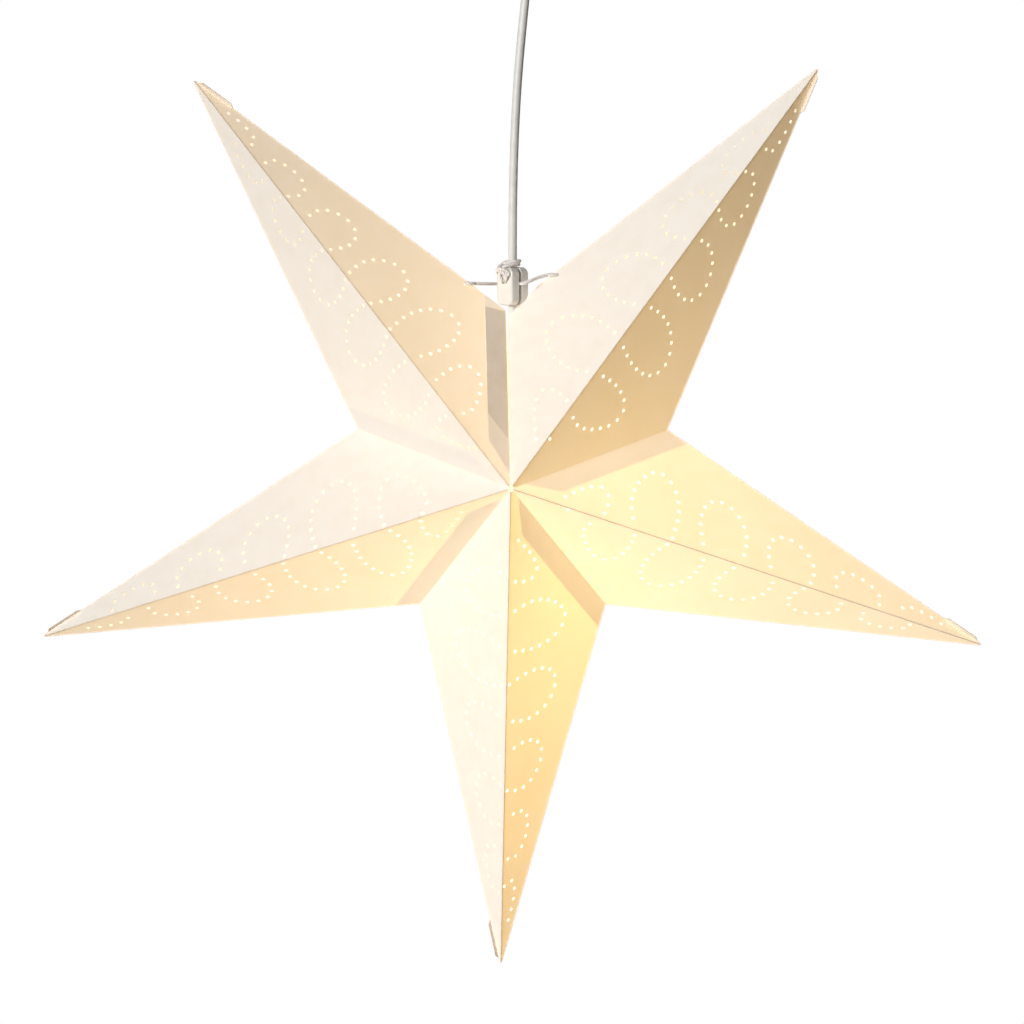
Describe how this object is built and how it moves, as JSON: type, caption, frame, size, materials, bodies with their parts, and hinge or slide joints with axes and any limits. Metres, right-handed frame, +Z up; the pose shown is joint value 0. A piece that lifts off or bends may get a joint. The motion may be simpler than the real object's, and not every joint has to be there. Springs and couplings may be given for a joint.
{
  "type": "paper star lantern",
  "caption": "Folded-paper star lantern with dotted perforations, hanging on its mains cord from a ceiling fitting, with a clip, tie string, lampholder and lamp.",
  "frame": {"origin": "centre of the ceiling fitting's upper face, where it lies on the ceiling", "axes": "+Z up into the ceiling, -Y towards the star's front, +X to the right seen from the front"},
  "size_m": [0.6975, 0.1988, 0.7999],
  "materials": {
    "paper": "matte",
    "cotton": "matte",
    "clip_plastic": "gloss",
    "zinc_screws": "satin",
    "cord_sheath": "satin",
    "core_insulation": "satin",
    "holder_plastic": "satin",
    "insert_ceramic": "satin",
    "contact_brass": "satin",
    "lamp_metal": "satin",
    "solder": "satin",
    "lamp_glass": "gloss",
    "lamp_plastic": "satin",
    "opal_globe": "satin",
    "circuit_board": "satin",
    "led_chip": "gloss",
    "cup_plastic": "satin",
    "bracket_steel": "satin",
    "swivel_plastic": "satin"
  },
  "bodies": {
    "ceiling": {"ceiling_cup": "cup_plastic", "ceiling_bracket": "bracket_steel", "cup_screws": "zinc_screws", "terminal_block": "cup_plastic", "block_screws": "zinc_screws"},
    "swivel": {"swivel_ball": "swivel_plastic"},
    "pendant": {"cord_bush": "swivel_plastic", "ceiling_cores": "core_insulation", "mains_cord": "cord_sheath", "cord_gland": "holder_plastic", "holder_cap": "holder_plastic", "holder_skirt": "holder_plastic", "holder_insert": "insert_ceramic", "screw_shell": "contact_brass", "centre_contact": "contact_brass", "holder_screws": "zinc_screws", "holder_cores": "core_insulation"},
    "star": {"front_lower_cw": "paper", "back_lower_cw": "paper", "front_lower_ccw": "paper", "back_lower_ccw": "paper", "front_left_cw": "paper", "back_left_cw": "paper", "front_left_ccw": "paper", "back_left_ccw": "paper", "front_upper_left_cw": "paper", "back_upper_left_cw": "paper", "front_upper_left_ccw": "paper", "back_upper_left_ccw": "paper", "front_right_cw": "paper", "back_right_cw": "paper", "front_right_ccw": "paper", "back_right_ccw": "paper", "front_upper_right_cw": "paper", "back_upper_right_cw": "paper", "front_upper_right_ccw": "paper", "back_upper_right_ccw": "paper", "glue_flaps_lower": "paper", "glue_flaps_left": "paper", "glue_flaps_upper_left": "paper", "glue_flaps_right": "paper", "glue_flaps_upper_right": "paper", "tie_string": "cotton", "cord_clip_front": "clip_plastic", "cord_clip_rear": "clip_plastic", "clip_screws": "zinc_screws"},
    "lamp_thread": {"lamp_tip_contact": "solder"},
    "lamp": {"lamp_insulator": "lamp_glass", "lamp_screw_cap": "lamp_metal", "lamp_collar": "lamp_plastic", "lamp_globe": "opal_globe", "led_board": "circuit_board", "led_chips": "led_chip", "lamp_driver": "circuit_board"}
  },
  "joints": [
    {"name": "cord_swing", "type": "hinge", "parent": "ceiling", "child": "swivel", "pos_m": [0, 0, -0.042], "axis": [1, 0, 0], "range_deg": [-12, 12]},
    {"name": "star_turn", "type": "hinge", "parent": "swivel", "child": "pendant", "pos_m": [0, 0, -0.042], "axis": [0, 0, 1], "range_deg": [-180, 180]},
    {"name": "star_height", "type": "slide", "parent": "pendant", "child": "star", "axis": [0, 0, 1], "range_m": [-0.02, 0.008]},
    {"name": "lamp_travel", "type": "slide", "parent": "pendant", "child": "lamp_thread", "axis": [0, 0, -1], "range_m": [0, 0.00846]},
    {"name": "lamp_turn", "type": "hinge", "parent": "lamp_thread", "child": "lamp", "pos_m": [-0.012, 0, -0.43], "axis": [0, 0, -1], "range_deg": [0, 1080.1]}
  ],
  "couplings": [
    {"joint": "lamp_turn", "follows": "lamp_travel", "rad_per_m": 2228.1}
  ]
}
